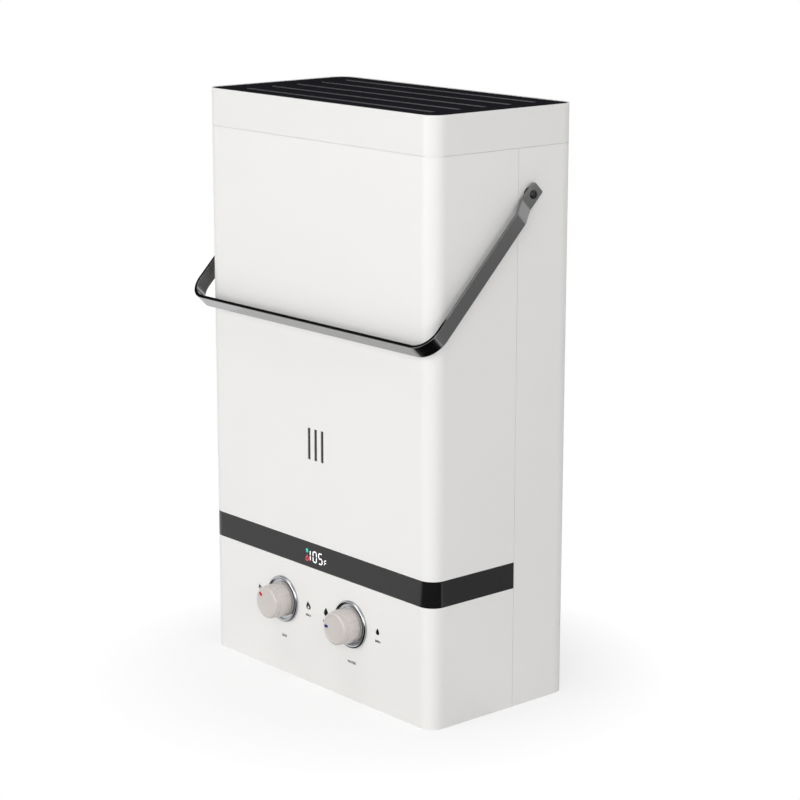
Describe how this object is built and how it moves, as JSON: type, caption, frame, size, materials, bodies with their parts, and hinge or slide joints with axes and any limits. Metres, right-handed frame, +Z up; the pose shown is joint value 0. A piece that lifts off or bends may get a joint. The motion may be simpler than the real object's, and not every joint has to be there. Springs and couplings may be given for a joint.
{
  "type": "portable gas water heater",
  "caption": "Tall sheet steel cabinet with a tankless propane water heater inside, a bent strip carry handle, gas and water knobs, a display band and a slotted exhaust grille.",
  "frame": {"origin": "on the floor below the middle of the whole heater, with its knobs and screw heads counted", "axes": "+Z up along the height, -Y out of the front with the knobs, +X to the right side seen from the front"},
  "size_m": [0.3746, 0.2112, 0.5969],
  "materials": {
    "white_paint": "satin",
    "black_paint": "gloss",
    "band_plastic": "gloss",
    "display_plastic": "gloss",
    "mica": "clear",
    "knob_plastic": "satin",
    "bezel_chrome": "polished",
    "red_plastic": "gloss",
    "blue_plastic": "gloss",
    "steel": "satin",
    "galvanised": "matte",
    "cast_alloy": "cast",
    "brass": "satin",
    "copper": "satin",
    "rubber": "matte",
    "black_plastic": "matte",
    "grey_plastic": "matte",
    "ceramic": "glazed",
    "cell_sleeve": "gloss"
  },
  "bodies": {
    "cabinet": {"front_cover": "white_paint", "rear_casing": "white_paint", "top_cap": "white_paint", "top_grille": "black_paint", "control_band": "band_plastic", "display_module": "display_plastic", "flame_window": "mica", "base_plate": "galvanised", "knob_bezels": "bezel_chrome", "handle_spacers": "black_plastic", "handle_screws": "black_paint", "pivot_plates": "galvanised", "gas_valve_body": "cast_alloy", "gas_solenoid": "black_plastic", "water_valve_body": "brass", "water_valve_cover": "cast_alloy", "diaphragm": "rubber", "valve_yoke": "galvanised", "micro_switch": "black_plastic", "water_inlet": "brass", "hot_water_outlet": "brass", "gas_inlet": "brass", "drain_plug": "brass", "mounting_brackets": "galvanised", "burner_frame": "galvanised", "burner_bars": "steel", "gas_manifold": "steel", "gas_feed_pipe": "steel", "combustion_chamber": "copper", "exchanger_fins": "copper", "water_coil": "copper", "hot_water_pipe": "copper", "flue_hood": "galvanised", "spark_electrode": "ceramic", "flame_sensor": "ceramic", "ignition_controller": "black_plastic", "tilt_switch": "grey_plastic", "overheat_thermostat": "grey_plastic", "battery_box": "black_plastic", "battery_cells": "cell_sleeve"},
    "carry_handle": {"carry_handle": "black_paint"},
    "gas_knob": {"gas_knob": "knob_plastic", "gas_knob_pointer": "red_plastic", "gas_spindle": "steel"},
    "water_knob": {"water_knob": "knob_plastic", "water_knob_pointer": "blue_plastic", "water_spindle": "steel"},
    "push_rod": {"push_rod": "brass"},
    "battery_door": {"battery_door": "black_plastic"}
  },
  "joints": [
    {"name": "handle_swing", "type": "hinge", "parent": "cabinet", "child": "carry_handle", "pos_m": [0, 0.04192, 0.5144], "axis": [-1, 0, 0], "range_deg": [0, 290]},
    {"name": "gas_knob_turn", "type": "hinge", "parent": "cabinet", "child": "gas_knob", "pos_m": [-0.0545, -0.08013, 0.0798], "axis": [0, 1, 0], "range_deg": [-38, 142]},
    {"name": "water_knob_turn", "type": "hinge", "parent": "cabinet", "child": "water_knob", "pos_m": [0.0545, -0.08013, 0.0798], "axis": [0, 1, 0], "range_deg": [0, 180]},
    {"name": "push_rod_slide", "type": "slide", "parent": "cabinet", "child": "push_rod", "axis": [-1, 0, 0], "range_m": [0, 0.003], "stiffness_N_per_m": 400},
    {"name": "battery_door_swing", "type": "hinge", "parent": "cabinet", "child": "battery_door", "pos_m": [-0.128, -0.01252, 0.0431], "axis": [1, 0, 0], "range_deg": [0, 88]}
  ]
}
